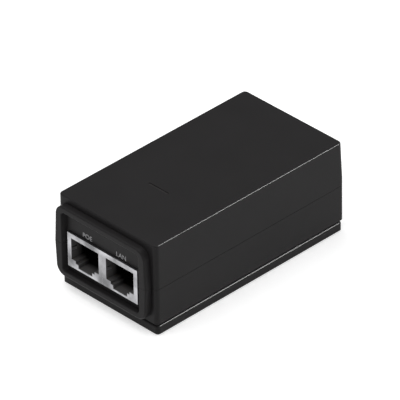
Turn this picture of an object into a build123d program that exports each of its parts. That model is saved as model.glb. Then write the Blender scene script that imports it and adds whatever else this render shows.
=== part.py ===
from build123d import *
import os
from math import cos, radians, sin, tan

os.makedirs("parts", exist_ok=True)

# A power-over-ethernet injector. Millimetres, +Z up. The origin is on the wall face of the mounting
# bracket, midway between its two screw holes. -Y is the front, where the two network sockets are.

# ---------------------------------------------------------------- case
case_width = 44.5
case_length = 85.0
case_height = 30.9
lower_shell_height = 14.1
wall = 2.0
corner_radius = 1.5
top_edge_radius = 0.45
rear_lean = 0.85          # how far the upper rear edge falls forward
rear_lean_height = 14.0
foot_chamfer = 0.8        # bevel round the foot of the case, above the bracket
parting_gap = 0.12        # between the rims of the two shells
shell_fit = 0.1           # between the lip and its rebate
lip_thickness = 0.9
lip_height = 1.4

# ---------------------------------------------------------------- raised frame on the front
port_offset = -1.0        # the sockets, their frame and the status light sit off the case's middle
frame_crest_side = 3.25   # width of the frame's crest beside, above and below the recess
frame_crest_top = 2.2
frame_crest_bottom = 2.1
frame_proud = 2.5
frame_side_draft_deg = 3.0  # the frame narrows above and below the parting line
frame_draft_deg = 2.0
frame_corner_radius = 3.8
frame_crest_radius = 0.6
panel_proud = 0.5         # the recessed panel inside the frame
panel_margin_side = 0.95  # from the sockets to the foot of the recess walls
panel_margin_bottom = 2.32
panel_margin_top = 7.23
recess_flare_deg = 20.0   # of the recess's side walls
recess_corner_radius = 1.2
recess_edge_radius = 0.35

# ---------------------------------------------------------------- mounting bracket
bracket_thickness = 3.3
bracket_gap = 0.3         # running clearance between bracket and case, all over
bracket_side_inset = 0.32
bracket_front_inset = 0.55
bracket_edge_radius = 0.7
bracket_corner_radius = 1.4
bracket_rim = 3.0
bracket_relief = 0.6      # depth of the hollow in the wall face
screw_spacing = 50.0
screw_hole_radius = 2.1
screw_land_radius = 5.5
screw_head_radius = 4.1
screw_head_depth = 1.5
slide_travel = 8.0
hook_x = 9.0
hook_rows = (-20.0, 24.0)
hook_length = 6.0
hook_stem_width = 3.0
hook_head_width = 7.0
hook_head_thickness = 1.1
pocket_lip = 1.2          # case floor under a hook's head
pocket_wall = 1.0

# ---------------------------------------------------------------- sockets
jack_width = 15.95
jack_pitch = 16.0
jack_height = 12.9
jack_depth = 21.0
jack_proud = 1.4          # socket face in front of the case's front wall
jack_opening_clearance = 0.15
shield_sheet = 0.3
shield_fit = 0.05
mouth_width = 12.6
mouth_top_inset = 1.74
mouth_height = 8.1
mouth_steps = ((1.95, 0.95), (1.15, 1.32))  # (inwards, downwards) of each step of the mouth's foot
mouth_depth = 15.0
finger_drop = 3.8
finger_height = 1.1
finger_reach = 2.1
finger_lean = 0.45
contact_count = 8
contact_pitch = 1.02
contact_size = 0.4
contact_length = 8.2
contact_slope_deg = 21.0
contact_setback = 2.2
contact_clearance = 0.35

# ---------------------------------------------------------------- circuit board
board_thickness = 1.6
board_side_gap = 0.65
board_front_gap = 0.6
board_rear_gap = 0.6
board_height = 4.52       # underside of the board above the foot of the case
sheet_thickness = 0.3
sheet_margin = 2.0
sheet_notch_length = 10.0
sheet_notch_margin = 1.0
notch_reach = 6.0
isolation_slot_length = 12.0
isolation_slot_width = 1.5
isolation_y = 6.5
post_radius = 1.6
post_wall_gap = 2.25
post_front_gap = 4.65     # from the inside of the front wall
post_middle_y = 4.0
boss_radius = 3.2
boss_bite = 0.2           # how far a boss runs into the side wall
boss_socket_gap = 0.35
boss_rear_gap = 2.55
boss_notch_clearance = 0.4
case_screw_radius = 1.2
case_screw_length = 19.0
case_screw_head_radius = 2.0
case_screw_head_height = 1.5
case_screw_fit = 0.05
case_screw_recess = 2.4

# ---------------------------------------------------------------- mains inlet
inlet_width = 22.0
inlet_height = 17.0
inlet_depth = 15.5
inlet_recess = 0.9
inlet_opening_clearance = 0.15
inlet_cavity_depth = 13.0
lobe_radius = 4.1
lobe_spacing = 10.0
lobe_rise = 5.4
pin_radius = 1.2
pin_set_back = 3.0
pin_fit = 0.05
pin_tail_size = 1.4

# ---------------------------------------------------------------- status light
light_slot_length = 9.1
light_slot_width = 0.9
light_setback = 4.35      # from the back of the sockets
light_fit = 0.05
light_stem_width = 2.0
light_sink = 0.15         # how far the lens lies below the top face
led_height = 0.9
guide_flare_height = 5.0
guide_bar = 1.0           # height of the bar under the roof
guide_bar_overhang = 1.0

# ---------------------------------------------------------------- derived places
case_bottom = bracket_thickness + bracket_gap
case_top = case_bottom + case_height
parting = case_bottom + lower_shell_height
case_half = case_width / 2
front = -case_length / 2
rear = case_length / 2
floor_top = case_bottom + wall
roof = case_top - wall
lean_foot = case_top - rear_lean_height

board_bottom = case_bottom + board_height
board_top = board_bottom + board_thickness
board_front = front + wall + board_front_gap
board_rear = rear - wall - board_rear_gap

board_width = case_width - 2 * (wall + board_side_gap)

jack_bottom = board_top
jack_top = jack_bottom + jack_height
jack_face = front - jack_proud
jack_back = jack_face + jack_depth
jack_centre_z = (jack_bottom + jack_top) / 2
jack_xs = {"poe": port_offset - jack_pitch / 2, "lan": port_offset + jack_pitch / 2}
pair_width = jack_pitch + jack_width

recess_flare = tan(radians(recess_flare_deg))
recess_width = pair_width + 2 * panel_margin_side
recess_bottom = jack_bottom - panel_margin_bottom
recess_top = jack_top + panel_margin_top
recess_height = recess_top - recess_bottom
recess_middle = (recess_top + recess_bottom) / 2
crest_y = front - frame_proud
recess_mouth_width = recess_width + 2 * (frame_proud - panel_proud) * recess_flare
frame_half = recess_mouth_width / 2 + frame_crest_side
frame_bottom = recess_bottom - frame_crest_bottom
frame_top = recess_top + frame_crest_top
frame_narrowing = tan(radians(frame_side_draft_deg))

boss_x = case_half - wall - boss_radius + boss_bite
boss_front_y = jack_back + boss_radius + boss_socket_gap
boss_rear_y = rear - wall - boss_radius - boss_rear_gap
boss_places = [(side * boss_x, y) for side in (-1, 1) for y in (boss_front_y, boss_rear_y)]
post_x = case_half - wall - post_wall_gap - post_radius
post_front_y = front + wall + post_front_gap + post_radius
post_places = [(side * post_x, y) for side in (-1, 1) for y in (post_front_y, post_middle_y)]
light_y = jack_back + light_setback

inlet_face = rear - inlet_recess
inlet_back = inlet_face - inlet_depth
inlet_centre_z = board_top + inlet_height / 2
pin_low_z = inlet_centre_z - lobe_rise / 2
pin_high_z = inlet_centre_z + lobe_rise / 2
pin_places = (
    (-lobe_spacing / 2, pin_low_z),
    (lobe_spacing / 2, pin_low_z),
    (0, pin_high_z),
)

screw_seat = case_bottom + case_screw_recess
overcut = 1.0             # how far a cut runs past the face that it opens

# ================================================================ outline of the two shells together
# the raised frame, widest at the parting line and drafted towards its crest
with BuildPart() as frame_blank:
    root_depth = frame_proud + wall / 2
    draft_run = root_depth * tan(radians(frame_draft_deg))
    half_bottom = frame_half + draft_run - frame_narrowing * (parting - frame_bottom)
    half_top = frame_half + draft_run - frame_narrowing * (frame_top - parting)
    with BuildSketch(Plane.XZ.offset(-crest_y - root_depth)) as frame_outline:
        with BuildLine():
            Polyline(
                (port_offset - half_bottom, frame_bottom - draft_run),
                (port_offset + half_bottom, frame_bottom - draft_run),
                (port_offset + frame_half + draft_run, parting),
                (port_offset + half_top, frame_top + draft_run),
                (port_offset - half_top, frame_top + draft_run),
                (port_offset - frame_half - draft_run, parting),
                close=True,
            )
        make_face()
        fillet(
            frame_outline.vertices().filter_by(lambda v: abs(v.Y - parting) > frame_crest_radius),
            frame_corner_radius,
        )
    extrude(amount=root_depth, taper=frame_draft_deg)
    fillet(frame_blank.faces().sort_by(Axis.Y)[0].edges(), frame_crest_radius)

with BuildPart() as case_blank:
    # the body of the case, whose rear leans forward above the inlet
    with BuildSketch(Plane.YZ):
        with BuildLine():
            Polyline(
                (front, case_bottom),
                (front, case_top),
                (rear - rear_lean, case_top),
                (rear, lean_foot),
                (rear, case_bottom),
                close=True,
            )
        make_face()
    extrude(amount=case_half, both=True)
    upright_edges = case_blank.edges().filter_by(
        lambda e: abs(e.center().X) > case_half - 0.01 and abs(e.tangent_at(0.5).Z) > 0.9
    )
    fillet(upright_edges, corner_radius)
    fillet(case_blank.faces().sort_by(Axis.Z)[-1].edges(), top_edge_radius)
    foot_edges = case_blank.faces().sort_by(Axis.Z)[0].edges()
    chamfer(foot_edges.filter_by(lambda e: e.center().Y > front + corner_radius), foot_chamfer)
    add(frame_blank.part)
    # the hollow
    with BuildSketch(Plane.YZ):
        with BuildLine():
            Polyline(
                (front + wall, floor_top),
                (front + wall, roof),
                (rear - rear_lean - wall, roof),
                (rear - wall, lean_foot),
                (rear - wall, floor_top),
                close=True,
            )
        make_face()
    extrude(amount=case_half - wall, both=True, mode=Mode.SUBTRACT)
    # the recess inside the frame, with the panel at its back and side walls that flare outwards
    for plane_proud in (panel_proud, frame_proud + overcut):
        with BuildSketch(Plane.XZ.offset(-front + plane_proud)):
            with Locations((port_offset, recess_middle)):
                RectangleRounded(
                    recess_width + 2 * recess_flare * (plane_proud - panel_proud),
                    recess_height,
                    recess_corner_radius,
                )
    loft(mode=Mode.SUBTRACT)
    inner_edges = case_blank.edges().filter_by(
        lambda e: abs(e.center().Y - crest_y) < 0.01
        and abs(e.center().X - port_offset) < recess_mouth_width / 2 + 0.01
        and abs(e.center().Z - recess_middle) < recess_height / 2 + 0.01
    )
    fillet(inner_edges, recess_edge_radius)
    # the opening for the pair of sockets
    with BuildSketch(Plane.XZ.offset(-front + frame_proud)):
        with Locations((port_offset, jack_centre_z)):
            Rectangle(pair_width + 2 * jack_opening_clearance, jack_height + 2 * jack_opening_clearance)
    extrude(amount=-(frame_proud + wall + overcut), mode=Mode.SUBTRACT)

# ================================================================ upper shell
with BuildPart() as upper_shell:
    add(case_blank.part)
    split(bisect_by=Plane.XY.offset(parting + parting_gap), keep=Keep.TOP)
    # screw bosses that reach down to the lower shell's bosses
    with BuildSketch(Plane.XY.offset(parting)):
        with Locations(*boss_places):
            Circle(boss_radius)
    extrude(amount=roof - parting + wall / 2)
    # rebate for the lower shell's lip
    with BuildSketch(Plane.XY.offset(parting)):
        rebate_rear = rear - wall + lip_thickness + shell_fit
        with Locations((0, (rebate_rear + board_front) / 2)):
            Rectangle(case_width - 2 * (wall - lip_thickness - shell_fit), rebate_rear - board_front)
        with Locations(*boss_places):
            Circle(boss_radius, mode=Mode.SUBTRACT)
    extrude(amount=parting_gap + lip_height + shell_fit, mode=Mode.SUBTRACT)
    with BuildSketch(Plane.XY.offset(parting)):
        with Locations(*boss_places):
            Circle(case_screw_radius + case_screw_fit)
    extrude(amount=screw_seat + case_screw_length - parting + overcut, mode=Mode.SUBTRACT)
    # the inlet's opening
    with BuildSketch(Plane.XZ.offset(-rear - overcut)):
        with Locations((0, inlet_centre_z)):
            Rectangle(inlet_width + 2 * inlet_opening_clearance, inlet_height + 2 * inlet_opening_clearance)
    extrude(amount=wall + 2 * overcut, mode=Mode.SUBTRACT)
    # the status light's slot
    with BuildSketch(Plane.XY.offset(roof - overcut)):
        with Locations((port_offset, light_y)):
            SlotOverall(light_slot_length, light_slot_width)
    extrude(amount=wall + 2 * overcut, mode=Mode.SUBTRACT)
upper_shell.part.label = "upper_shell"
export_step(upper_shell.part, "parts/upper_shell.step")

# ================================================================ lower shell
pocket_top = case_bottom + pocket_lip + bracket_gap + hook_head_thickness + bracket_gap
pocket_width = hook_head_width + 2 * bracket_gap
pocket_front = -slide_travel - hook_length / 2 - bracket_gap
pocket_rear = hook_length / 2 + bracket_gap
pocket_length = pocket_rear - pocket_front
pocket_middle = (pocket_rear + pocket_front) / 2
entry_length = hook_length + 2 * bracket_gap
hook_places = [(x, y) for x in (-hook_x, hook_x) for y in hook_rows]

with BuildPart() as lower_shell:
    add(case_blank.part)
    split(bisect_by=Plane.XY.offset(parting), keep=Keep.BOTTOM)
    # the lip that stands up inside the upper shell's rim, at the sides and the rear
    with BuildSketch(Plane.XY.offset(parting - lip_height)):
        lip_length = rear - wall + lip_thickness - board_front - lip_height
        with Locations((0, rear - wall + lip_thickness - lip_length / 2)):
            Rectangle(case_width - 2 * (wall - lip_thickness), lip_length)
        with Locations((0, rear - wall - lip_length / 2)):
            Rectangle(case_width - 2 * wall, lip_length + overcut, mode=Mode.SUBTRACT)
    extrude(amount=2 * lip_height)
    with BuildSketch(Plane.XY.offset(parting)):
        with Locations(*boss_places):
            Circle(boss_radius + shell_fit)
    extrude(amount=2 * lip_height, mode=Mode.SUBTRACT)
    # bosses for the case screws, posts for the board
    with BuildSketch(Plane.XY.offset(floor_top - wall / 2)):
        with Locations(*boss_places):
            Circle(boss_radius)
    extrude(amount=parting - floor_top + wall / 2)
    with BuildSketch(Plane.XY.offset(floor_top - wall / 2)):
        with Locations(*post_places):
            Circle(post_radius)
    extrude(amount=board_bottom - floor_top + wall / 2)
    # a closed pocket over each of the bracket's hooks
    with BuildSketch(Plane.XY.offset(case_bottom + pocket_lip)):
        with Locations(*[(x, y + pocket_middle) for x, y in hook_places]):
            Rectangle(pocket_width + 2 * pocket_wall, pocket_length + 2 * pocket_wall)
    extrude(amount=pocket_top + pocket_wall - case_bottom - pocket_lip)
    with BuildSketch(Plane.XY.offset(case_bottom + pocket_lip)):
        with Locations(*[(x, y + pocket_middle) for x, y in hook_places]):
            Rectangle(pocket_width, pocket_length)
    extrude(amount=pocket_top - case_bottom - pocket_lip, mode=Mode.SUBTRACT)
    # the slot that each stem runs in, and the wide entry at its front end
    with BuildSketch(Plane.XY.offset(case_bottom - overcut)):
        with Locations(*[(x, y + pocket_middle) for x, y in hook_places]):
            Rectangle(hook_stem_width + 2 * bracket_gap, pocket_length)
        with Locations(*[(x, y + pocket_front + entry_length / 2) for x, y in hook_places]):
            Rectangle(pocket_width, entry_length)
    extrude(amount=pocket_lip + 2 * overcut, mode=Mode.SUBTRACT)
    # screw holes, with recesses for the heads
    with BuildSketch(Plane.XY.offset(case_bottom - overcut)):
        with Locations(*boss_places):
            Circle(case_screw_radius + case_screw_fit)
    extrude(amount=lower_shell_height + 2 * overcut, mode=Mode.SUBTRACT)
    with BuildSketch(Plane.XY.offset(case_bottom)):
        with Locations(*boss_places):
            Circle(case_screw_head_radius + bracket_gap)
    extrude(amount=case_screw_recess, mode=Mode.SUBTRACT)
    with BuildSketch(Plane.XZ.offset(-rear - overcut)):
        with Locations((0, inlet_centre_z)):
            Rectangle(inlet_width + 2 * inlet_opening_clearance, inlet_height + 2 * inlet_opening_clearance)
    extrude(amount=wall + 2 * overcut, mode=Mode.SUBTRACT)
lower_shell.part.label = "lower_shell"
export_step(lower_shell.part, "parts/lower_shell.step")

with BuildPart() as case_screws:
    with BuildSketch(Plane.XY.offset(screw_seat)):
        with Locations(*boss_places):
            Circle(case_screw_radius)
    extrude(amount=case_screw_length)
    with BuildSketch(Plane.XY.offset(screw_seat)):
        with Locations(*boss_places):
            Circle(case_screw_head_radius)
    extrude(amount=-case_screw_head_height)
    with BuildSketch(Plane.XY.offset(screw_seat - case_screw_head_height)):
        with Locations(*boss_places):
            Rectangle(2 * case_screw_radius, 0.5)
            Rectangle(0.5, 2 * case_screw_radius)
    extrude(amount=case_screw_head_height / 2, mode=Mode.SUBTRACT)
case_screws.part.label = "case_screws"
export_step(case_screws.part, "parts/case_screws.step")

# ================================================================ mounting bracket
bracket_front = front + bracket_front_inset
bracket_rear = rear - bracket_side_inset
bracket_width = case_width - 2 * bracket_side_inset
bracket_length = bracket_rear - bracket_front
bracket_middle = (bracket_rear + bracket_front) / 2
hook_head_bottom = case_bottom + pocket_lip + bracket_gap
screw_places = ((0, -screw_spacing / 2), (0, screw_spacing / 2))

with BuildPart() as mounting_bracket:
    with BuildSketch():
        with Locations((0, bracket_middle)):
            RectangleRounded(bracket_width, bracket_length, bracket_corner_radius)
    extrude(amount=bracket_thickness)
    fillet(mounting_bracket.faces().sort_by(Axis.Z)[-1].edges(), bracket_edge_radius)
    chamfer(mounting_bracket.faces().sort_by(Axis.Z)[0].edges(), 0.3)
    # hollow of the wall face, which leaves a rim and a land round each screw hole
    with BuildSketch():
        with Locations((0, bracket_middle)):
            RectangleRounded(
                bracket_width - 2 * bracket_rim, bracket_length - 2 * bracket_rim, bracket_corner_radius
            )
        with Locations(*screw_places):
            Circle(screw_land_radius, mode=Mode.SUBTRACT)
    extrude(amount=bracket_relief, mode=Mode.SUBTRACT)
    # hooks: a stem and a head on each
    with BuildSketch(Plane.XY.offset(bracket_thickness / 2)):
        with Locations(*hook_places):
            Rectangle(hook_stem_width, hook_length)
    extrude(amount=hook_head_bottom + hook_head_thickness / 2 - bracket_thickness / 2)
    with BuildSketch(Plane.XY.offset(hook_head_bottom)):
        with Locations(*hook_places):
            Rectangle(hook_head_width, hook_length)
    extrude(amount=hook_head_thickness)
    # wall screw holes, counterbored from the case side
    with BuildSketch():
        with Locations(*screw_places):
            Circle(screw_hole_radius)
    extrude(amount=bracket_thickness, mode=Mode.SUBTRACT)
    with BuildSketch(Plane.XY.offset(bracket_thickness)):
        with Locations(*screw_places):
            Circle(screw_head_radius)
    extrude(amount=-screw_head_depth, mode=Mode.SUBTRACT)
mounting_bracket.part.label = "mounting_bracket"
export_step(mounting_bracket.part, "parts/mounting_bracket.step")

# ================================================================ network sockets
def mouth_outline(centre_x, clearance):
    """Corner points of a socket's mouth, from the top left, with a step down each side of its foot."""
    half = mouth_width / 2 - clearance
    level = jack_top - mouth_top_inset - clearance
    points = [(half, level)]
    level -= mouth_height - 2 * clearance
    points.append((half, level))
    for inwards, downwards in mouth_steps:
        half -= inwards
        points.append((half, level))
        level -= downwards
        points.append((half, level))
    right = [(centre_x + x, z) for x, z in points]
    left = [(centre_x - x, z) for x, z in reversed(points)]
    return right + left


insert_width = jack_width - 2 * (shield_sheet + shield_fit)
insert_height = jack_height - 2 * (shield_sheet + shield_fit)
insert_face = jack_face + shield_sheet + shield_fit
insert_length = jack_depth - 2 * (shield_sheet + shield_fit)
contact_root_y = insert_face + contact_setback
mouth_top = jack_top - mouth_top_inset
contact_root_z = mouth_top - contact_clearance - contact_size / 2

for port, jack_x in jack_xs.items():
    # folded metal can, open at the mouth, with a spring finger on each side of it
    with BuildPart() as jack_shield:
        with BuildSketch(Plane.XZ.offset(-jack_face)):
            with Locations((jack_x, jack_centre_z)):
                Rectangle(jack_width, jack_height)
        extrude(amount=-jack_depth)
        with BuildSketch(Plane.XZ.offset(-jack_face - shield_sheet)):
            with Locations((jack_x, jack_centre_z)):
                Rectangle(jack_width - 2 * shield_sheet, jack_height - 2 * shield_sheet)
        extrude(amount=-(jack_depth - 2 * shield_sheet), mode=Mode.SUBTRACT)
        with BuildSketch(Plane.XZ.offset(-jack_face + overcut)):
            with BuildLine():
                Polyline(*mouth_outline(jack_x, 0), close=True)
            make_face()
        extrude(amount=-(shield_sheet + 2 * overcut), mode=Mode.SUBTRACT)
        finger_top = mouth_top - finger_drop
        for side in (-1, 1):
            edge_x = jack_x + side * mouth_width / 2
            with BuildSketch(Plane.XY.offset(finger_top - finger_height)):
                with BuildLine():
                    Polyline(
                        (edge_x + side * shield_sheet, jack_face),
                        (edge_x, jack_face),
                        (edge_x - side * finger_lean, jack_face + finger_reach),
                        (edge_x - side * (finger_lean - shield_sheet), jack_face + finger_reach),
                        close=True,
                    )
                make_face()
            extrude(amount=finger_height)
    jack_shield.part.label = f"{port}_jack_shield"
    export_step(jack_shield.part, f"parts/{port}_jack_shield.step")

    # black plastic insert that guides the plug
    with BuildPart() as jack_insert:
        with BuildSketch(Plane.XZ.offset(-insert_face)):
            with Locations((jack_x, jack_centre_z)):
                Rectangle(insert_width, insert_height)
        extrude(amount=-insert_length)
        with BuildSketch(Plane.XZ.offset(-insert_face)):
            with BuildLine():
                Polyline(*mouth_outline(jack_x, 0), close=True)
            make_face()
        extrude(amount=-mouth_depth, mode=Mode.SUBTRACT)
        # room for the spring fingers
        with BuildSketch(Plane.XZ.offset(-insert_face)):
            with Locations((jack_x, finger_top - finger_height / 2)):
                Rectangle(mouth_width + 2 * shield_sheet + 2 * shield_fit, finger_height + 0.4)
        extrude(amount=-finger_reach, mode=Mode.SUBTRACT)
        # comb at the back that the wires' free ends move in
        comb_y = insert_face + mouth_depth - 0.5
        with BuildSketch(Plane.XZ.offset(-comb_y)):
            with Locations((jack_x, mouth_top - mouth_height / 2)):
                Rectangle(contact_pitch * contact_count, 0.6)
        extrude(amount=-1.5, mode=Mode.SUBTRACT)
    jack_insert.part.label = f"{port}_jack_insert"
    export_step(jack_insert.part, f"parts/{port}_jack_insert.step")

    # eight spring wires that slope down and back from under the mouth's top edge
    slope = radians(contact_slope_deg)
    wire_end_y = contact_root_y + contact_length * cos(slope)
    wire_end_z = contact_root_z - contact_length * sin(slope)
    across_y = contact_size / 2 * sin(slope)
    across_z = contact_size / 2 * cos(slope)
    first_x = jack_x - contact_pitch * (contact_count - 1) / 2
    with BuildPart() as contacts:
        for index in range(contact_count):
            wire_x = first_x + index * contact_pitch
            with BuildSketch(Plane.YZ.offset(wire_x)):
                with BuildLine():
                    Polyline(
                        (contact_root_y + across_y, contact_root_z + across_z),
                        (wire_end_y + across_y, wire_end_z + across_z),
                        (wire_end_y - across_y, wire_end_z - across_z),
                        (contact_root_y - across_y, contact_root_z - across_z),
                        close=True,
                    )
                make_face()
            extrude(amount=contact_size / 2, both=True)
    contacts.part.label = f"{port}_contacts"
    export_step(contacts.part, f"parts/{port}_contacts.step")

# ================================================================ circuit board and its insulation
board_length = board_rear - board_front
board_middle = (board_rear + board_front) / 2

with BuildPart() as circuit_board:
    with BuildSketch(Plane.XY.offset(board_bottom)):
        with Locations((0, board_middle)):
            Rectangle(board_width, board_length)
        with Locations(*boss_places):
            Circle(boss_radius + boss_notch_clearance, mode=Mode.SUBTRACT)
        # notches that leave no slivers outside the bosses
        for x, y in boss_places:
            with Locations((x + (notch_reach / 2 if x > 0 else -notch_reach / 2), y)):
                Rectangle(notch_reach, 2 * (boss_radius + boss_notch_clearance), mode=Mode.SUBTRACT)
        # isolation slot under the transformer
        with Locations((0, isolation_y)):
            SlotOverall(isolation_slot_length, isolation_slot_width, mode=Mode.SUBTRACT)
    extrude(amount=board_thickness)
circuit_board.part.label = "circuit_board"
export_step(circuit_board.part, "parts/circuit_board.step")

with BuildPart() as insulation_sheet:
    with BuildSketch(Plane.XY.offset(board_bottom)):
        with Locations((0, board_middle)):
            Rectangle(board_width - 2 * sheet_margin, board_length - 2 * sheet_margin)
        with Locations(*boss_places):
            Rectangle(sheet_notch_length, 2 * (boss_radius + sheet_notch_margin), mode=Mode.SUBTRACT)
        with Locations(*post_places):
            Circle(post_radius + boss_notch_clearance, mode=Mode.SUBTRACT)
    extrude(amount=-sheet_thickness)
insulation_sheet.part.label = "insulation_sheet"
export_step(insulation_sheet.part, "parts/insulation_sheet.step")

# ================================================================ mains inlet
with BuildPart() as inlet_housing:
    with BuildSketch(Plane.XZ.offset(-inlet_face)):
        with Locations((0, inlet_centre_z)):
            RectangleRounded(inlet_width, inlet_height, 1.0)
    extrude(amount=inlet_depth)
    # the three-lobed hollow for the mains plug
    with BuildSketch(Plane.XZ.offset(-inlet_face)):
        with Locations(*pin_places):
            Circle(lobe_radius)
        with Locations((0, pin_low_z)):
            Rectangle(lobe_spacing, 2 * lobe_radius)
        with Locations((0, inlet_centre_z)):
            Rectangle(lobe_spacing / 2, lobe_rise)
    extrude(amount=inlet_cavity_depth, mode=Mode.SUBTRACT)
    with BuildSketch(Plane.XZ.offset(-inlet_face)):
        with Locations(*pin_places):
            Circle(pin_radius + pin_fit)
    extrude(amount=inlet_depth + overcut, mode=Mode.SUBTRACT)
inlet_housing.part.label = "inlet_housing"
export_step(inlet_housing.part, "parts/inlet_housing.step")

pin_front = inlet_face - pin_set_back
pin_back = inlet_back - pin_tail_size
with BuildPart() as inlet_pins:
    with BuildSketch(Plane.XZ.offset(-pin_front)):
        with Locations(*pin_places):
            Circle(pin_radius)
    extrude(amount=pin_front - pin_back)
    chamfer(inlet_pins.faces().filter_by(Axis.Y).group_by(Axis.Y)[-1].edges(), pin_radius / 3)
    # tails that turn down to the board
    for x, z in pin_places:
        with BuildSketch(Plane.XY.offset(board_top)):
            with Locations((x, pin_back + pin_tail_size / 2)):
                Rectangle(pin_tail_size, pin_tail_size)
        extrude(amount=z - board_top)
inlet_pins.part.label = "inlet_pins"
export_step(inlet_pins.part, "parts/inlet_pins.step")

# ================================================================ mains side of the supply
beside_inlet_x = (inlet_width / 2 + case_half - wall) / 2
beside_inlet_y = inlet_back + 3.35
with BuildPart() as fuse:
    with BuildSketch(Plane.XY.offset(board_top)):
        with Locations((-beside_inlet_x, beside_inlet_y)):
            RectangleRounded(7.4, 3.2, 0.5)
    extrude(amount=7.6)
    fillet(fuse.faces().sort_by(Axis.Z)[-1].edges(), 0.4)
fuse.part.label = "fuse"
export_step(fuse.part, "parts/fuse.step")

with BuildPart() as surge_disc:
    with BuildSketch(Plane.XZ.offset(-beside_inlet_y - 1.5)):
        with Locations((beside_inlet_x, board_top + 5.2)):
            Circle(3.6)
    extrude(amount=3.0)
    fillet(surge_disc.edges().filter_by(GeomType.CIRCLE), 0.7)
    with BuildSketch(Plane.XY.offset(board_top)):
        with Locations((beside_inlet_x, beside_inlet_y)):
            with GridLocations(3.0, 1, 2, 1):
                Circle(0.35)
    extrude(amount=4.0)
surge_disc.part.label = "surge_disc"
export_step(surge_disc.part, "parts/surge_disc.step")

bridge_x = 1.0
bridge_y = inlet_back - pin_tail_size - 2.55
with BuildPart() as x_capacitor:
    with BuildSketch(Plane.XY.offset(board_top)):
        with Locations((bridge_x, bridge_y - 4.5)):
            Rectangle(13.0, 5.6)
    extrude(amount=11.0)
    fillet(x_capacitor.edges().filter_by(Axis.Z), 0.4)
x_capacitor.part.label = "x_capacitor"
export_step(x_capacitor.part, "parts/x_capacitor.step")

with BuildPart() as bridge_rectifier:
    with BuildSketch(Plane.XY.offset(board_top + 3.0)):
        with Locations((bridge_x, bridge_y)):
            Rectangle(13.6, 2.6)
    extrude(amount=9.5)
    chamfer(bridge_rectifier.edges().filter_by(Axis.Z).sort_by(Axis.X)[-2:], 0.8)
    with BuildSketch(Plane.XY.offset(board_top)):
        with Locations((bridge_x, bridge_y)):
            with GridLocations(3.8, 1, 4, 1):
                Rectangle(0.9, 0.6)
    extrude(amount=3.5)
bridge_rectifier.part.label = "bridge_rectifier"
export_step(bridge_rectifier.part, "parts/bridge_rectifier.step")

bulk_radius = 6.0
bulk_x = bulk_radius + 1.65 - (case_half - wall)
bulk_y = inlet_back - bulk_radius - 0.35
with BuildPart() as bulk_capacitor:
    with BuildSketch(Plane.XY.offset(board_top)):
        with Locations((bulk_x, bulk_y)):
            Circle(bulk_radius)
    extrude(amount=19.0)
    fillet(bulk_capacitor.edges().filter_by(GeomType.CIRCLE), 0.7)
    # scored vent in the end of the can
    with BuildSketch(Plane.XY.offset(board_top + 19.0)):
        with Locations((bulk_x, bulk_y)):
            Rectangle(7.0, 0.4)
            Rectangle(0.4, 7.0)
    extrude(amount=-0.3, mode=Mode.SUBTRACT)
bulk_capacitor.part.label = "bulk_capacitor"
export_step(bulk_capacitor.part, "parts/bulk_capacitor.step")

choke_base_size = 10.0
choke_base_height = 1.6
choke_x = case_half - wall - choke_base_size / 2 - 1.25
choke_y = inlet_back - choke_base_size / 2 - 0.25
with BuildPart() as choke_base:
    with BuildSketch(Plane.XY.offset(board_top)):
        with Locations((choke_x, choke_y)):
            RectangleRounded(choke_base_size, choke_base_size, 1.0)
    extrude(amount=choke_base_height)
choke_base.part.label = "choke_base"
export_step(choke_base.part, "parts/choke_base.step")

core_width, core_height, core_depth, core_leg = 9.6, 11.0, 3.0, 2.6
with BuildPart() as choke_core:
    with BuildSketch(Plane.XZ.offset(-choke_y - core_depth / 2)):
        with Locations((choke_x, board_top + choke_base_height + core_height / 2)):
            RectangleRounded(core_width, core_height, 0.6)
            Rectangle(core_width - 2 * core_leg, core_height - 2 * core_leg, mode=Mode.SUBTRACT)
    extrude(amount=core_depth)
choke_core.part.label = "choke_core"
export_step(choke_core.part, "parts/choke_core.step")

with BuildPart() as choke_windings:
    for level in (-core_height / 2 + core_leg / 2, core_height / 2 - core_leg / 2):
        winding_z = board_top + choke_base_height + core_height / 2 + level
        with BuildSketch(Plane.YZ.offset(choke_x - 2.0)):
            with Locations((choke_y, winding_z)):
                RectangleRounded(core_depth + 2.0, core_leg + 2.0, 0.9)
                Rectangle(core_depth + 0.2, core_leg + 0.2, mode=Mode.SUBTRACT)
        extrude(amount=4.0)
    split(bisect_by=Plane.XY.offset(board_top + choke_base_height), keep=Keep.TOP)
choke_windings.part.label = "choke_windings"
export_step(choke_windings.part, "parts/choke_windings.step")

# heat sink with the switching transistor screwed to it
sink_length, sink_sheet, sink_height = 14.0, 1.2, 17.0
sink_x = case_half - wall - 1.85
sink_y = isolation_y
with BuildPart() as heat_sink:
    with BuildSketch(Plane.XY.offset(board_top)):
        with Locations((sink_x, sink_y)):
            Rectangle(sink_sheet, sink_length)
        with Locations((sink_x - 2.0, sink_y - sink_length / 2 + sink_sheet / 2)):
            Rectangle(4.0, sink_sheet)
    extrude(amount=sink_height)
    screw_z = board_top + 14.6
    with BuildSketch(Plane.YZ.offset(sink_x - sink_sheet / 2 - overcut)):
        with Locations((sink_y + 1.0, screw_z)):
            Circle(1.55)
    extrude(amount=sink_sheet + 2 * overcut, mode=Mode.SUBTRACT)
heat_sink.part.label = "heat_sink"
export_step(heat_sink.part, "parts/heat_sink.step")

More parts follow.
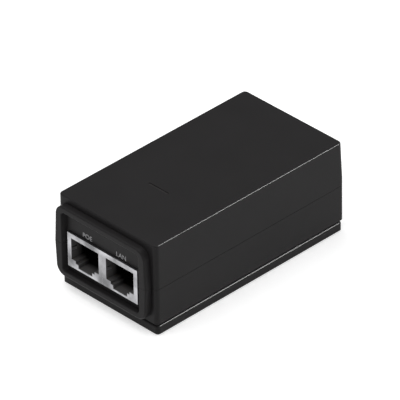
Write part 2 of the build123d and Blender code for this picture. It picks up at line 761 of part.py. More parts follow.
tab_x = sink_x - sink_sheet / 2
with BuildPart() as switching_transistor:
    with BuildSketch(Plane.YZ.offset(tab_x - 4.4)):
        with Locations((sink_y + 1.0, board_top + 7.7)):
            Rectangle(10.0, 8.6)
    extrude(amount=4.4)
    with BuildSketch(Plane.YZ.offset(tab_x - 1.3)):
        with Locations((sink_y + 1.0, board_top + 14.3)):
            Rectangle(10.0, 4.8)
    extrude(amount=1.3)
    with BuildSketch(Plane.YZ.offset(tab_x - 1.3 - overcut)):
        with Locations((sink_y + 1.0, screw_z)):
            Circle(1.55)
    extrude(amount=1.3 + 2 * overcut, mode=Mode.SUBTRACT)
    with BuildSketch(Plane.XY.offset(board_top)):
        with Locations((tab_x - 2.4, sink_y + 1.0)):
            with GridLocations(1, 2.54, 1, 3):
                Rectangle(0.6, 0.8)
    extrude(amount=3.6)
switching_transistor.part.label = "switching_transistor"
export_step(switching_transistor.part, "parts/switching_transistor.step")

with BuildPart() as heat_sink_screw:
    with BuildSketch(Plane.YZ.offset(tab_x - 1.3)):
        with Locations((sink_y + 1.0, screw_z)):
            Circle(1.5)
    extrude(amount=1.3 + sink_sheet)
    with BuildSketch(Plane.YZ.offset(tab_x - 1.3)):
        with Locations((sink_y + 1.0, screw_z)):
            Circle(2.3)
    extrude(amount=-1.4)
    with BuildSketch(Plane.YZ.offset(tab_x - 2.7)):
        with Locations((sink_y + 1.0, screw_z)):
            Rectangle(2.6, 0.5)
            Rectangle(0.5, 2.6)
    extrude(amount=0.7, mode=Mode.SUBTRACT)
heat_sink_screw.part.label = "heat_sink_screw"
export_step(heat_sink_screw.part, "parts/heat_sink_screw.step")

# ================================================================ transformer across the isolation gap
transformer_x, transformer_y = -0.6, isolation_y
former_foot = 2.6
ferrite_width, ferrite_height, ferrite_depth, ferrite_leg = 20.0, 16.5, 6.0, 3.4
centre_leg = 5.6
ferrite_bottom = board_top + former_foot
with BuildPart() as transformer_core:
    with BuildSketch(Plane.XZ.offset(-transformer_y - ferrite_depth / 2)):
        with Locations((transformer_x, ferrite_bottom + ferrite_height / 2)):
            Rectangle(ferrite_width, ferrite_height)
            with Locations((-(ferrite_width - 2 * ferrite_leg + centre_leg) / 4, 0),
                           ((ferrite_width - 2 * ferrite_leg + centre_leg) / 4, 0)):
                Rectangle(
                    (ferrite_width - 2 * ferrite_leg - centre_leg) / 2,
                    ferrite_height - 2 * ferrite_leg,
                    mode=Mode.SUBTRACT,
                )
    extrude(amount=ferrite_depth)
    chamfer(transformer_core.edges().filter_by(Axis.Y).group_by(Axis.Z)[-1], 0.5)
transformer_core.part.label = "transformer_core"
export_step(transformer_core.part, "parts/transformer_core.step")

former_fit = 0.1
window_width = (ferrite_width - 2 * ferrite_leg - centre_leg) / 2
window_height = ferrite_height - 2 * ferrite_leg
former_wall = 0.8
sleeve_width = centre_leg + 2 * (former_fit + former_wall)
sleeve_depth = ferrite_depth + 2 * (former_fit + former_wall)
flange_width = centre_leg + 2 * (window_width - former_fit)
flange_depth = 14.6
window_bottom = ferrite_bottom + ferrite_leg
with BuildPart() as transformer_bobbin:
    # sleeve round the centre leg, with a flange at each end of it
    with BuildSketch(Plane.XY.offset(window_bottom + former_fit)):
        with Locations((transformer_x, transformer_y)):
            Rectangle(sleeve_width, sleeve_depth)
    extrude(amount=window_height - 2 * former_fit)
    for level in (window_bottom + former_fit, window_bottom + window_height - former_fit - former_wall):
        with BuildSketch(Plane.XY.offset(level)):
            with Locations((transformer_x, transformer_y)):
                Rectangle(flange_width, flange_depth)
        extrude(amount=former_wall)
    # feet outside the core that stand on the board
    for side in (-1, 1):
        with BuildSketch(Plane.XY.offset(board_top)):
            with Locations((transformer_x, transformer_y + side * (flange_depth / 2 - 1.3))):
                Rectangle(flange_width, 2.6)
        extrude(amount=window_bottom + former_fit + former_wall - board_top)
    with BuildSketch(Plane.XY.offset(window_bottom)):
        with Locations((transformer_x, transformer_y)):
            Rectangle(centre_leg + 2 * former_fit, ferrite_depth + 2 * former_fit)
    extrude(amount=window_height, mode=Mode.SUBTRACT)
transformer_bobbin.part.label = "transformer_bobbin"
export_step(transformer_bobbin.part, "parts/transformer_bobbin.step")

with BuildPart() as transformer_winding:
    winding_bottom = window_bottom + former_fit + former_wall
    with BuildSketch(Plane.XY.offset(winding_bottom)):
        with Locations((transformer_x, transformer_y)):
            RectangleRounded(flange_width - 0.4, flange_depth - 1.4, 2.0)
            Rectangle(sleeve_width, sleeve_depth, mode=Mode.SUBTRACT)
    extrude(amount=window_height - 2 * (former_fit + former_wall))
transformer_winding.part.label = "transformer_winding"
export_step(transformer_winding.part, "parts/transformer_winding.step")

with BuildPart() as y_capacitor:
    with BuildSketch(Plane.YZ.offset(-16.6)):
        with Locations((9.6, board_top + 5.4)):
            Circle(3.9)
    extrude(amount=3.2)
    fillet(y_capacitor.edges().filter_by(GeomType.CIRCLE), 0.9)
    with BuildSketch(Plane.XY.offset(board_top)):
        with Locations((-15.0, 7.7), (-15.0, 11.5)):
            Circle(0.35)
    extrude(amount=4.0)
y_capacitor.part.label = "y_capacitor"
export_step(y_capacitor.part, "parts/y_capacitor.step")

with BuildPart() as optocoupler:
    with BuildSketch(Plane.XY.offset(board_top + 0.5)):
        with Locations((-15.2, -1.4)):
            Rectangle(4.6, 6.4)
    extrude(amount=3.4)
    chamfer(optocoupler.faces().sort_by(Axis.Z)[-1].edges(), 0.4)
    with BuildSketch(Plane.XY.offset(board_top)):
        with Locations((-15.2, -1.4)):
            with GridLocations(2.54, 7.6, 2, 2):
                Rectangle(1.1, 1.3)
    extrude(amount=1.6)
optocoupler.part.label = "optocoupler"
export_step(optocoupler.part, "parts/optocoupler.step")

# ================================================================ output side of the supply
magnetic_width = 11.6
magnetic_boss_gap = 0.25
magnetic_x = boss_x - boss_radius - magnetic_boss_gap - magnetic_width / 2
magnetic_y = jack_back + 5.45
with BuildPart() as output_capacitors:
    with BuildSketch(Plane.XY.offset(board_top)):
        with Locations((-15.0, magnetic_y + 7.2), (-6.4, magnetic_y + 8.6)):
            Circle(4.0)
    extrude(amount=12.5)
    fillet(output_capacitors.edges().filter_by(GeomType.CIRCLE), 0.5)
output_capacitors.part.label = "output_capacitors"
export_step(output_capacitors.part, "parts/output_capacitors.step")

with BuildPart() as output_choke:
    with BuildSketch(Plane.XY.offset(board_top)):
        with Locations((3.2, magnetic_y + 9.0)):
            Circle(4.5)
            Circle(1.9, mode=Mode.SUBTRACT)
    extrude(amount=5.0)
    fillet(output_choke.edges().filter_by(GeomType.CIRCLE), 0.8)
output_choke.part.label = "output_choke"
export_step(output_choke.part, "parts/output_choke.step")

diode_x = 14.0
diode_y = magnetic_y + 9.6
with BuildPart() as output_diode:
    with BuildSketch(Plane.XZ.offset(-diode_y)):
        with Locations((diode_x, board_top + 7.7)):
            Rectangle(10.0, 8.6)
    extrude(amount=4.4)
    with BuildSketch(Plane.XZ.offset(-diode_y)):
        with Locations((diode_x, board_top + 14.3)):
            Rectangle(10.0, 4.8)
            with Locations((0, 0.3)):
                Circle(1.8, mode=Mode.SUBTRACT)
    extrude(amount=1.3)
    with BuildSketch(Plane.XY.offset(board_top)):
        with Locations((diode_x, diode_y - 2.4)):
            with GridLocations(2.54, 1, 3, 1):
                Rectangle(0.8, 0.6)
    extrude(amount=3.6)
output_diode.part.label = "output_diode"
export_step(output_diode.part, "parts/output_diode.step")

with BuildPart() as data_transformers:
    with BuildSketch(Plane.XY.offset(board_top + 0.3)):
        with Locations((-magnetic_x, magnetic_y), (magnetic_x, magnetic_y)):
            Rectangle(magnetic_width, 5.4)
    extrude(amount=4.8)
    chamfer(data_transformers.faces().group_by(Axis.Z)[-1].edges(), 0.4)
    with BuildSketch(Plane.XY.offset(board_top)):
        with Locations((-magnetic_x, magnetic_y), (magnetic_x, magnetic_y)):
            with GridLocations(1.27, 6.4, 8, 2):
                Rectangle(0.5, 1.2)
    extrude(amount=0.8)
data_transformers.part.label = "data_transformers"
export_step(data_transformers.part, "parts/data_transformers.step")

with BuildPart() as controller_chip:
    with BuildSketch(Plane.XY.offset(board_top + 0.15)):
        with Locations((13.2, -4.0)):
            Rectangle(4.9, 3.9)
    extrude(amount=1.5)
    chamfer(controller_chip.faces().sort_by(Axis.Z)[-1].edges(), 0.3)
    with BuildSketch(Plane.XY.offset(board_top)):
        with Locations((13.2, -4.0)):
            with GridLocations(1.27, 5.2, 4, 2):
                Rectangle(0.42, 1.0)
    extrude(amount=0.5)
controller_chip.part.label = "controller_chip"
export_step(controller_chip.part, "parts/controller_chip.step")

with BuildPart() as chip_parts:
    with BuildSketch(Plane.XY.offset(board_top)):
        with Locations((-4.5, -2.9)):
            with GridLocations(3.0, 1, 4, 1):
                Rectangle(2.0, 1.25)
        with Locations((11.4, 7.0)):
            with GridLocations(1, 2.6, 1, 3):
                Rectangle(2.0, 1.25)
    extrude(amount=0.6)
chip_parts.part.label = "chip_parts"
export_step(chip_parts.part, "parts/chip_parts.step")

# ================================================================ status light
with BuildPart() as status_led:
    with BuildSketch(Plane.XY.offset(board_top)):
        with Locations((port_offset, light_y)):
            Rectangle(2.0, 1.25)
    extrude(amount=led_height)
    fillet(status_led.faces().sort_by(Axis.Z)[-1].edges(), 0.15)
status_led.part.label = "status_led"
export_step(status_led.part, "parts/status_led.step")

# a clear guide that widens upwards from the light to a bar in the slot
guide_bottom = board_top + led_height
guide_neck = roof - guide_flare_height
guide_half = light_slot_length / 2 + guide_bar_overhang
with BuildPart() as light_guide:
    with BuildSketch(Plane.XY.offset(roof)):
        with Locations((port_offset, light_y)):
            SlotOverall(light_slot_length - 2 * light_fit, light_slot_width - 2 * light_fit)
    extrude(amount=wall - light_sink)
    with BuildSketch(Plane.XZ.offset(-light_y - light_slot_width / 2)):
        with BuildLine():
            Polyline(
                (port_offset - light_stem_width / 2, guide_bottom),
                (port_offset + light_stem_width / 2, guide_bottom),
                (port_offset + light_stem_width / 2, guide_neck),
                (port_offset + guide_half, roof - guide_bar),
                (port_offset + guide_half, roof),
                (port_offset - guide_half, roof),
                (port_offset - guide_half, roof - guide_bar),
                (port_offset - light_stem_width / 2, guide_neck),
                close=True,
            )
        make_face()
    extrude(amount=light_slot_width)
light_guide.part.label = "light_guide"
export_step(light_guide.part, "parts/light_guide.step")
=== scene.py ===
from math import cos, pi, radians, sin

import bpy
from mathutils import Matrix, Vector


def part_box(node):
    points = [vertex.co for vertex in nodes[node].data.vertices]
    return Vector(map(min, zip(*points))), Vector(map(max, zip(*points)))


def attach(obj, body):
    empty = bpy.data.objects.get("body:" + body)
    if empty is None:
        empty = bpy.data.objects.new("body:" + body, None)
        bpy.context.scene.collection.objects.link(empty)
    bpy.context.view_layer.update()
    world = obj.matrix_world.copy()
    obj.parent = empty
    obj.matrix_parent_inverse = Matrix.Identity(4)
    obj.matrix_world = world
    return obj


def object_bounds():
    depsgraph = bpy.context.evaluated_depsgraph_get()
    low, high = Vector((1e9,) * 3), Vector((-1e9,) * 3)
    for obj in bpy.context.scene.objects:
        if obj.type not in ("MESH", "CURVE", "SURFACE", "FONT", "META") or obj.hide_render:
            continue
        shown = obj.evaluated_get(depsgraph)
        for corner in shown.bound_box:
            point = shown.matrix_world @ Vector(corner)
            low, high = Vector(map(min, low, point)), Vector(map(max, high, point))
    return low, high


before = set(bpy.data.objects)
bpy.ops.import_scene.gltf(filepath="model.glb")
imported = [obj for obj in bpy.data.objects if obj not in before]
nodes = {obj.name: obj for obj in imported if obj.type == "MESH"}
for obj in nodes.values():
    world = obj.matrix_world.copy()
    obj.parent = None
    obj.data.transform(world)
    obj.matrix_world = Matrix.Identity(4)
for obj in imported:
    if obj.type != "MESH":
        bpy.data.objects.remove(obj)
cad_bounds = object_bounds()

MM = 0.001

# ------------------------------------------------------------------ the frame's own landmarks
foot_low = Vector(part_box("mounting_bracket")[0])
insert_front_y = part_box("poe_jack_insert")[0][1]
poe_low, poe_high = (Vector(v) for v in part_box("poe_jack_shield"))
lan_low, lan_high = (Vector(v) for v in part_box("lan_jack_shield"))


# ------------------------------------------------------------------ node helpers
class Nodes:
    """A new node material, with short ways to add and join its nodes."""

    def __init__(self, name):
        self.material = bpy.data.materials.new(name)
        self.material.use_nodes = True
        self.tree = self.material.node_tree
        self.tree.nodes.clear()
        self.output = self.tree.nodes.new("ShaderNodeOutputMaterial")

    def add(self, kind, settings=(), **inputs):
        node = self.tree.nodes.new(kind)
        for name, value in dict(settings).items():
            setattr(node, name, value)
        for name, value in inputs.items():
            self.set(node, name.replace("_", " "), value)
        return node

    def set(self, node, name, value):
        if isinstance(value, bpy.types.NodeSocket):
            self.tree.links.new(value, node.inputs[name])
        else:
            node.inputs[name].default_value = value

    def surface(self, socket):
        self.tree.links.new(socket, self.output.inputs["Surface"])

    def place(self):
        """Position on the object, in metres."""
        return self.add("ShaderNodeTexCoord").outputs["Object"]

    def noise(self, scale, detail=2.0, roughness=0.5):
        node = self.add("ShaderNodeTexNoise", Scale=scale, Detail=detail, Roughness=roughness)
        self.set(node, "Vector", self.place())
        return node.outputs["Fac"]

    def ranged(self, value, low, high, to_low, to_high):
        node = self.add("ShaderNodeMapRange", {"clamp": True})
        limits = {"From Min": low, "From Max": high, "To Min": to_low, "To Max": to_high}
        for name, number in limits.items():
            node.inputs[name].default_value = number
        self.set(node, "Value", value)
        return node.outputs["Result"]

    def math(self, operation, a, b):
        node = self.add("ShaderNodeMath", {"operation": operation})
        for index, value in enumerate((a, b)):
            if isinstance(value, bpy.types.NodeSocket):
                self.tree.links.new(value, node.inputs[index])
            else:
                node.inputs[index].default_value = value
        return node.outputs["Value"]

    def mix(self, factor, a, b):
        """Mix of two colours."""
        node = self.add("ShaderNodeMix", {"data_type": "RGBA"})
        for index, value in ((0, factor), (6, a), (7, b)):
            if isinstance(value, bpy.types.NodeSocket):
                self.tree.links.new(value, node.inputs[index])
            else:
                node.inputs[index].default_value = value
        return node.outputs[2]

    def bump(self, height, depth_mm, strength=1.0):
        node = self.add("ShaderNodeBump", Strength=strength, Distance=depth_mm * MM)
        self.set(node, "Height", height)
        return node.outputs["Normal"]

    def worn_edge(self, radius_mm):
        """0 on flats and 1 on sharp outer edges, from how far a bevel would turn the normal."""
        bevel = self.add("ShaderNodeBevel", {"samples": 4}, Radius=radius_mm * MM)
        true_normal = self.add("ShaderNodeNewGeometry").outputs["True Normal"]
        dot = self.add("ShaderNodeVectorMath", {"operation": "DOT_PRODUCT"})
        self.tree.links.new(bevel.outputs["Normal"], dot.inputs[0])
        self.tree.links.new(true_normal, dot.inputs[1])
        return self.ranged(dot.outputs["Value"], 0.98, 0.8, 0.0, 1.0)

    def occlusion_mask(self, reach_mm):
        """1 in the open and towards 0 in corners and hollows; used to paint shade into a colour."""
        node = self.add("ShaderNodeAmbientOcclusion", {"samples": 8}, Distance=reach_mm * MM)
        return node.outputs["AO"]


def shade(base, factor):
    return (base[0] * factor, base[1] * factor, base[2] * factor, 1.0)


def moulded_plastic(name, base, roughness, grain_mm=0.16, grain_depth_mm=0.012, specular=0.3,
                    painted_shade_reach_mm=0.0, painted_shade_factor=0.5, painted_shade_behind_y=None):
    """Injection-moulded plastic: spark-eroded grain, faint flow shading, edges polished by handling;
    optional painted shade that darkens the colour in hollows and corners, and optional painted shade
    that darkens the colour and fades the reflection behind a given Y.
    """
    m = Nodes(name)
    grain = m.noise(1 / (grain_mm * MM), 3.0, 0.6)
    flow = m.noise(1 / (18 * MM), 2.0)
    colour = m.mix(m.ranged(flow, 0.35, 0.65, 0.0, 1.0), shade(base, 0.95), shade(base, 1.05))
    colour = m.mix(m.math("MULTIPLY", m.worn_edge(0.35), 0.5), colour, shade(base, 1.6))
    # painted shade: where the occlusion mask falls, in corners, creases and hollows, the colour is
    # darkened to stand in for shade
    if painted_shade_reach_mm:
        unshaded = m.ranged(m.occlusion_mask(painted_shade_reach_mm), 0.35, 0.95, 0.0, 1.0)
        colour = m.mix(unshaded, shade(base, painted_shade_factor), colour)
    # painted shade: behind this Y the colour fades to near black and the specular fades out, standing
    # in for the shade deep inside a socket's mouth
    if painted_shade_behind_y is not None:
        where = m.add("ShaderNodeNewGeometry")
        apart = m.add("ShaderNodeSeparateXYZ")
        m.set(apart, "Vector", where.outputs["Position"])
        depth = m.ranged(apart.outputs["Y"], painted_shade_behind_y, painted_shade_behind_y + 2.5 * MM, 0.0, 1.0)
        colour = m.mix(depth, colour, shade(base, 0.04))
        specular = m.ranged(depth, 0.0, 1.0, specular, 0.02)
    smooth = m.ranged(grain, 0.3, 0.7, roughness - 0.05, roughness + 0.05)
    shader = m.add("ShaderNodeBsdfPrincipled", Metallic=0.0, IOR=1.45)
    m.set(shader, "Specular IOR Level", specular)
    m.set(shader, "Base Color", colour)
    polish = m.math("MULTIPLY", m.worn_edge(0.35), 0.14)
    m.set(shader, "Roughness", m.math("SUBTRACT", smooth, polish))
    m.set(shader, "Normal", m.bump(grain, grain_depth_mm, 0.6))
    m.surface(shader.outputs["BSDF"])
    return m.material


def sheet_metal(name, base, roughness, brush_axis="X", brush_mm=0.05, tarnish_and_painted_reflection=0.14, cloud_mm=2.5):
    """Plated sheet: fine rolling marks along one axis, lighter and darker clouds (tarnished plate when
    faint, painted reflection of the surroundings when strong), brighter cut edges.
    """
    m = Nodes(name)
    mapping = m.add("ShaderNodeMapping")
    stretch = {"X": (0.04, 1, 1), "Y": (1, 0.04, 1), "Z": (1, 1, 0.04)}[brush_axis]
    mapping.inputs["Scale"].default_value = stretch
    m.set(mapping, "Vector", m.place())
    lines = m.add("ShaderNodeTexNoise", Scale=1 / (brush_mm * MM), Detail=2.0, Roughness=0.5)
    m.set(lines, "Vector", mapping.outputs["Vector"])
    clouds = m.noise(1 / (cloud_mm * MM), 3.0)
    cloud = m.ranged(clouds, 0.35, 0.65, 0.0, 1.0)
    # the cloud colours are tarnished plate at low strength and painted reflection at high strength
    colour = m.mix(cloud, shade(base, 1.0 + tarnish_and_painted_reflection / 2), shade(base, 1.0 - tarnish_and_painted_reflection))
    colour = m.mix(m.worn_edge(0.12), colour, shade(base, 1.2))
    shader = m.add("ShaderNodeBsdfPrincipled", Metallic=1.0)
    m.set(shader, "Base Color", colour)
    m.set(shader, "Roughness", m.ranged(clouds, 0.3, 0.7, roughness - 0.06, roughness + 0.08))
    m.set(shader, "Normal", m.bump(lines.outputs["Fac"], 0.004, 0.35))
    m.surface(shader.outputs["BSDF"])
    return m.material


def dipped_coat(name, base, roughness=0.25):
    """Glossy dipped or shrunk coat with an uneven surface."""
    m = Nodes(name)
    waves = m.noise(1 / (1.6 * MM), 2.0)
    colour = m.mix(m.ranged(waves, 0.3, 0.7, 0.0, 1.0), shade(base, 0.85), shade(base, 1.15))
    shader = m.add("ShaderNodeBsdfPrincipled", Metallic=0.0)
    m.set(shader, "Base Color", colour)
    m.set(shader, "Roughness", m.ranged(waves, 0.3, 0.7, roughness - 0.05, roughness + 0.1))
    m.set(shader, "Normal", m.bump(waves, 0.03, 0.5))
    m.surface(shader.outputs["BSDF"])
    return m.material


def wound_wire(name, base, pitch_mm, axis):
    """Enamelled turns laid side by side along one axis, with painted shade darkening the grooves
    between them.
    """
    m = Nodes(name)
    bands = {"wave_type": "BANDS", "bands_direction": axis, "wave_profile": "SIN"}
    wave = m.add("ShaderNodeTexWave", bands)
    m.set(wave, "Scale", 1 / (pitch_mm * MM * 3.2))
    m.set(wave, "Distortion", 0.15)
    m.set(wave, "Vector", m.place())
    turns = wave.outputs["Fac"]
    # painted shade: the colour is darkened to about a third in the grooves between turns
    colour = m.mix(turns, shade(base, 0.35), shade(base, 1.1))
    shader = m.add("ShaderNodeBsdfPrincipled", Metallic=0.7)
    m.set(shader, "Base Color", colour)
    m.set(shader, "Roughness", m.ranged(turns, 0.0, 1.0, 0.5, 0.3))
    m.set(shader, "Normal", m.bump(turns, 0.1, 0.8))
    m.surface(shader.outputs["BSDF"])
    return m.material


def solder_mask(name, base):
    """Board: glossy mask over copper tracks, with bare glass-fibre at the cut edges."""
    m = Nodes(name)
    tracks = m.add("ShaderNodeTexBrick", {"offset": 0.3, "squash": 1.0}, Scale=1 / (8 * MM))
    m.set(tracks, "Mortar Size", 0.03)
    m.set(tracks, "Color1", shade(base, 0.8))
    m.set(tracks, "Color2", shade(base, 1.0))
    m.set(tracks, "Mortar", shade(base, 1.9))
    m.set(tracks, "Vector", m.place())
    speckle = m.noise(1 / (0.5 * MM), 3.0)
    colour = m.mix(m.ranged(speckle, 0.3, 0.7, 0.0, 0.25), tracks.outputs["Color"], shade(base, 0.6))
    colour = m.mix(m.worn_edge(0.3), colour, (0.45, 0.4, 0.25, 1.0))
    shader = m.add("ShaderNodeBsdfPrincipled", Metallic=0.0)
    m.set(shader, "Base Color", colour)
    m.set(shader, "Roughness", m.ranged(speckle, 0.3, 0.7, 0.28, 0.42))
    m.set(shader, "Normal", m.bump(tracks.outputs["Fac"], 0.03, 0.5))
    m.surface(shader.outputs["BSDF"])
    return m.material


def smoked_lens(name):
    """Dark clear plastic of the unlit status light."""
    m = Nodes(name)
    haze = m.noise(1 / (0.4 * MM), 2.0)
    shader = m.add("ShaderNodeBsdfPrincipled", Metallic=0.0)
    m.set(shader, "Base Color", m.mix(haze, (0.006, 0.005, 0.005, 1), (0.012, 0.01, 0.01, 1)))
    m.set(shader, "Roughness", m.ranged(haze, 0.3, 0.7, 0.35, 0.5))
    m.set(shader, "Specular IOR Level", 0.25)
    m.surface(shader.outputs["BSDF"])
    return m.material


def printed_ink(name, base):
    """Pad-printed ink: slightly uneven cover."""
    m = Nodes(name)
    cover = m.noise(1 / (0.12 * MM), 2.0)
    shader = m.add("ShaderNodeBsdfPrincipled", Metallic=0.0)
    thickness = m.ranged(cover, 0.3, 0.7, 0.0, 1.0)
    m.set(shader, "Base Color", m.mix(thickness, shade(base, 0.8), shade(base, 1.0)))
    m.set(shader, "Roughness", m.ranged(cover, 0.3, 0.7, 0.5, 0.7))
    m.surface(shader.outputs["BSDF"])
    return m.material


# ------------------------------------------------------------------ materials for the CAD nodes
CHARCOAL = (0.0156, 0.0147, 0.0152)
# painted shade: beyond this depth the socket insert's colour fades to near black and its reflection
# fades out, standing in for the shade deep in the mouth
MOUTH_LIT_DEPTH = 2.2 * MM  # how far into a socket's mouth the insert keeps its full colour
# the case and the bracket carry painted shade in their hollows and valleys, darkened over a short reach
CASE_LOOK = {"roughness": 0.4, "specular": 0.11, "painted_shade_reach_mm": 0.25}
case_plastic = moulded_plastic("case plastic", CHARCOAL, **CASE_LOOK)
bracket_plastic = moulded_plastic("bracket plastic", CHARCOAL, **CASE_LOOK)
# socket metal: its strong, large clouds are painted reflection, lighter and darker patches standing in
# for surroundings mirrored in the plate
socket_metal = sheet_metal(
    "socket metal", (0.42, 0.42, 0.435), 0.34, "X", tarnish_and_painted_reflection=0.55, cloud_mm=7.0
)
socket_plastic = moulded_plastic(
    "socket plastic",
    (0.085, 0.083, 0.084),
    0.35,
    grain_mm=0.1,
    painted_shade_behind_y=insert_front_y + MOUTH_LIT_DEPTH,
)
inlet_plastic = moulded_plastic("inlet plastic", (0.018, 0.018, 0.018), 0.4, grain_mm=0.1)
dark_epoxy = moulded_plastic("dark epoxy", (0.02, 0.02, 0.021), 0.5, grain_mm=0.08)
pale_epoxy = moulded_plastic("film box", (0.7, 0.5, 0.08), 0.45, grain_mm=0.3)
film = moulded_plastic("insulation film", (0.7, 0.69, 0.62), 0.35, grain_mm=0.6)
ferrite = moulded_plastic("ferrite", (0.05, 0.05, 0.055), 0.55, grain_mm=0.06, grain_depth_mm=0.02)
ceramic = moulded_plastic("chip ceramic", (0.32, 0.25, 0.18), 0.5, grain_mm=0.1)
resin = moulded_plastic("clear resin", (0.75, 0.75, 0.7), 0.2, grain_mm=0.2)
steel = sheet_metal("zinc-plated steel", (0.5, 0.5, 0.5), 0.35, "Z")
aluminium = sheet_metal("aluminium sheet", (0.66, 0.66, 0.67), 0.35, "Y")
gold = sheet_metal("gold plate", (0.83, 0.6, 0.24), 0.25, "Y")
pin_metal = sheet_metal("nickel-plated brass", (0.75, 0.73, 0.66), 0.25, "Y")
blue_coat = dipped_coat("blue coat", (0.03, 0.12, 0.42))
sleeve = dipped_coat("capacitor sleeve", (0.02, 0.03, 0.1), 0.2)
copper_turns = wound_wire("copper turns", (0.6, 0.24, 0.08), 0.5, "X")
tape_turns = wound_wire("winding tape", (0.7, 0.52, 0.08), 2.4, "Z")
board_mask = solder_mask("board", (0.02, 0.13, 0.05))
lens = smoked_lens("status lens")
ink = printed_ink("port label ink", (0.42, 0.42, 0.43))

finishes = {
    "upper_shell": case_plastic,
    "lower_shell": case_plastic,
    "mounting_bracket": bracket_plastic,
    "case_screws": steel,
    "heat_sink_screw": steel,
    "poe_jack_shield": socket_metal,
    "lan_jack_shield": socket_metal,
    "poe_jack_insert": socket_plastic,
    "lan_jack_insert": socket_plastic,
    "poe_contacts": gold,
    "lan_contacts": gold,
    "inlet_housing": inlet_plastic,
    "inlet_pins": pin_metal,
    "circuit_board": board_mask,
    "insulation_sheet": film,
    "surge_disc": blue_coat,
    "y_capacitor": blue_coat,
    "x_capacitor": pale_epoxy,
    "bulk_capacitor": sleeve,
    "output_capacitors": sleeve,
    "choke_core": ferrite,
    "transformer_core": ferrite,
    "output_choke": ferrite,
    "choke_windings": copper_turns,
    "transformer_winding": tape_turns,
    "heat_sink": aluminium,
    "chip_parts": ceramic,
    "status_led": resin,
    "light_guide": lens,
}
for name, node in nodes.items():
    node.data.materials.clear()
    node.data.materials.append(finishes.get(name, dark_epoxy))


# ------------------------------------------------------------------ printed port words
def port_word(text, socket_low, socket_high, shift_mm, width_mm):
    """A word printed on the panel above a socket, lying on the panel's face."""
    curve = bpy.data.curves.new(f"label_{text.lower()}", "FONT")
    curve.body = text
    curve.size = 2.45 * MM
    curve.align_x = "CENTER"
    curve.align_y = "CENTER"
    curve.extrude = 0.01 * MM
    label = bpy.data.objects.new(f"label_{text.lower()}", curve)
    bpy.context.collection.objects.link(label)
    centre_x = (socket_low.x + socket_high.x) / 2 + shift_mm * MM
    centre_z = socket_high.z + 1.35 * MM
    start = Vector((centre_x, cad_bounds[0][1] - 0.01, centre_z))
    hit, point, _, _ = nodes["upper_shell"].ray_cast(start, Vector((0, 1, 0)))
    if not hit:
        raise RuntimeError("the panel above the socket was not found")
    label.rotation_euler = (pi / 2, 0, 0)
    label.location = (centre_x, point.y - 0.012 * MM, centre_z)
    bpy.context.view_layer.update()
    label.scale = (width_mm * MM / label.dimensions.x, 1, 1)
    curve.materials.append(ink)
    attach(label, "case")
    return label


port_word("POE", poe_low, poe_high, 0.45, 4.2)
port_word("LAN", lan_low, lan_high, -0.1, 4.35)


# ------------------------------------------------------------------ camera
def place_camera(azimuth, elevation, roll, distance, right_mm, up_mm, lens_mm, shift_x, shift_y):
    """Long-lens camera aimed past the foot of the case. Azimuth 0 looks along +Y."""
    a, e, r = radians(azimuth), radians(elevation), radians(roll)
    back = Vector((sin(a) * cos(e), -cos(a) * cos(e), sin(e)))
    right = Vector((cos(a), sin(a), 0))
    up = back.cross(right)
    turned_right = cos(r) * right + sin(r) * up
    turned_up = -sin(r) * right + cos(r) * up
    camera = bpy.data.objects.new("camera", bpy.data.cameras.new("camera"))
    camera.data.lens = lens_mm
    camera.data.sensor_width = 36
    camera.data.shift_x = shift_x
    camera.data.shift_y = shift_y
    camera.data.clip_start = 0.05
    camera.data.clip_end = 20
    place = back * distance + turned_right * right_mm * MM + turned_up * up_mm * MM
    camera.matrix_world = Matrix(
        (
            (turned_right.x, turned_up.x, back.x, place.x),
            (turned_right.y, turned_up.y, back.y, place.y),
            (turned_right.z, turned_up.z, back.z, place.z),
            (0, 0, 0, 1),
        )
    )
    bpy.context.collection.objects.link(camera)
    bpy.context.scene.camera = camera


place_camera(45.794, 34.154, -0.791, 1.9353, -0.10, 11.43, 537.8, -0.0074, 0.0501)


# ------------------------------------------------------------------ floor, backdrop and light
def backdrop_strength(m):
    """1 for camera, glossy and transmission rays, else 0."""
    path = m.add("ShaderNodeLightPath")
    seen = m.math("MAXIMUM", path.outputs["Is Camera Ray"], path.outputs["Is Glossy Ray"])
    return m.math("MAXIMUM", seen, path.outputs["Is Transmission Ray"])


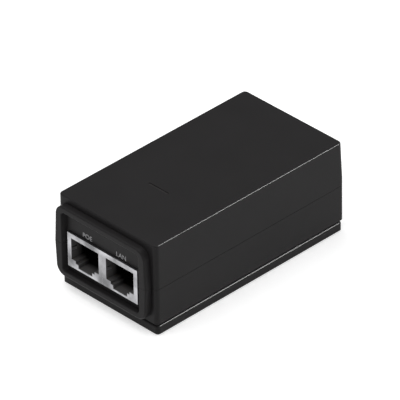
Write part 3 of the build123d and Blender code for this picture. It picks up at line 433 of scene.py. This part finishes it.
def make_floor(glow_strength):
    size = 3.0
    mesh = bpy.data.meshes.new("floor")
    z = foot_low.z - 0.02 * MM
    corners = [(-size, -size, z), (size, -size, z), (size, size, z), (-size, size, z)]
    mesh.from_pydata(corners, [], [(0, 1, 2, 3)])
    floor = bpy.data.objects.new("floor", mesh)
    bpy.context.collection.objects.link(floor)
    m = Nodes("floor")
    matte = m.add("ShaderNodeBsdfDiffuse", Color=(0.8, 0.8, 0.8, 1.0))
    glow = m.add("ShaderNodeEmission", Color=(1.0, 1.0, 1.0, 1.0))
    m.set(glow, "Strength", m.math("MULTIPLY", backdrop_strength(m), glow_strength))
    both = m.add("ShaderNodeAddShader")
    m.tree.links.new(matte.outputs["BSDF"], both.inputs[0])
    m.tree.links.new(glow.outputs["Emission"], both.inputs[1])
    m.surface(both.outputs["Shader"])
    mesh.materials.append(m.material)


def make_world(level):
    world = bpy.data.worlds.new("studio")
    bpy.context.scene.world = world
    world.use_nodes = True
    tree = world.node_tree
    tree.nodes.clear()
    output = tree.nodes.new("ShaderNodeOutputWorld")
    plain = tree.nodes.new("ShaderNodeBackground")
    plain.inputs["Color"].default_value = (1, 1, 1, 1)
    plain.inputs["Strength"].default_value = level
    white = tree.nodes.new("ShaderNodeBackground")
    white.inputs["Color"].default_value = (1, 1, 1, 1)
    white.inputs["Strength"].default_value = 1.0
    path = tree.nodes.new("ShaderNodeLightPath")
    mix = tree.nodes.new("ShaderNodeMixShader")
    tree.links.new(path.outputs["Is Camera Ray"], mix.inputs["Fac"])
    tree.links.new(plain.outputs["Background"], mix.inputs[1])
    tree.links.new(white.outputs["Background"], mix.inputs[2])
    tree.links.new(mix.outputs["Shader"], output.inputs["Surface"])


def soft_box(name, direction, distance, width, height, power, seen_in_gloss_only=False):
    """A rectangular lamp that faces the object from a direction."""
    lamp = bpy.data.lights.new(name, "AREA")
    lamp.shape = "RECTANGLE"
    lamp.size = width
    lamp.size_y = height
    lamp.energy = power
    box = bpy.data.objects.new(name, lamp)
    towards = Vector(direction).normalized()
    box.location = towards * distance
    box.rotation_euler = towards.to_track_quat("Z", "Y").to_euler()
    box.visible_diffuse = not seen_in_gloss_only
    bpy.context.collection.objects.link(box)


make_floor(0.5)
make_world(0.42)
soft_box("overhead", (-0.15, -0.1, 1.0), 0.9, 0.9, 0.9, 5.4)
soft_box("front", (-0.6, -0.8, 0.55), 1.0, 0.7, 0.7, 0.8)
soft_box("side", (1.0, -0.1, 0.45), 1.0, 0.7, 0.7, 0.8)
soft_box("rim", (0.56, 0.53, 0.64), 0.4, 0.05, 0.05, 8.0, seen_in_gloss_only=True)

view = bpy.context.scene.view_settings
view.view_transform = "Standard"
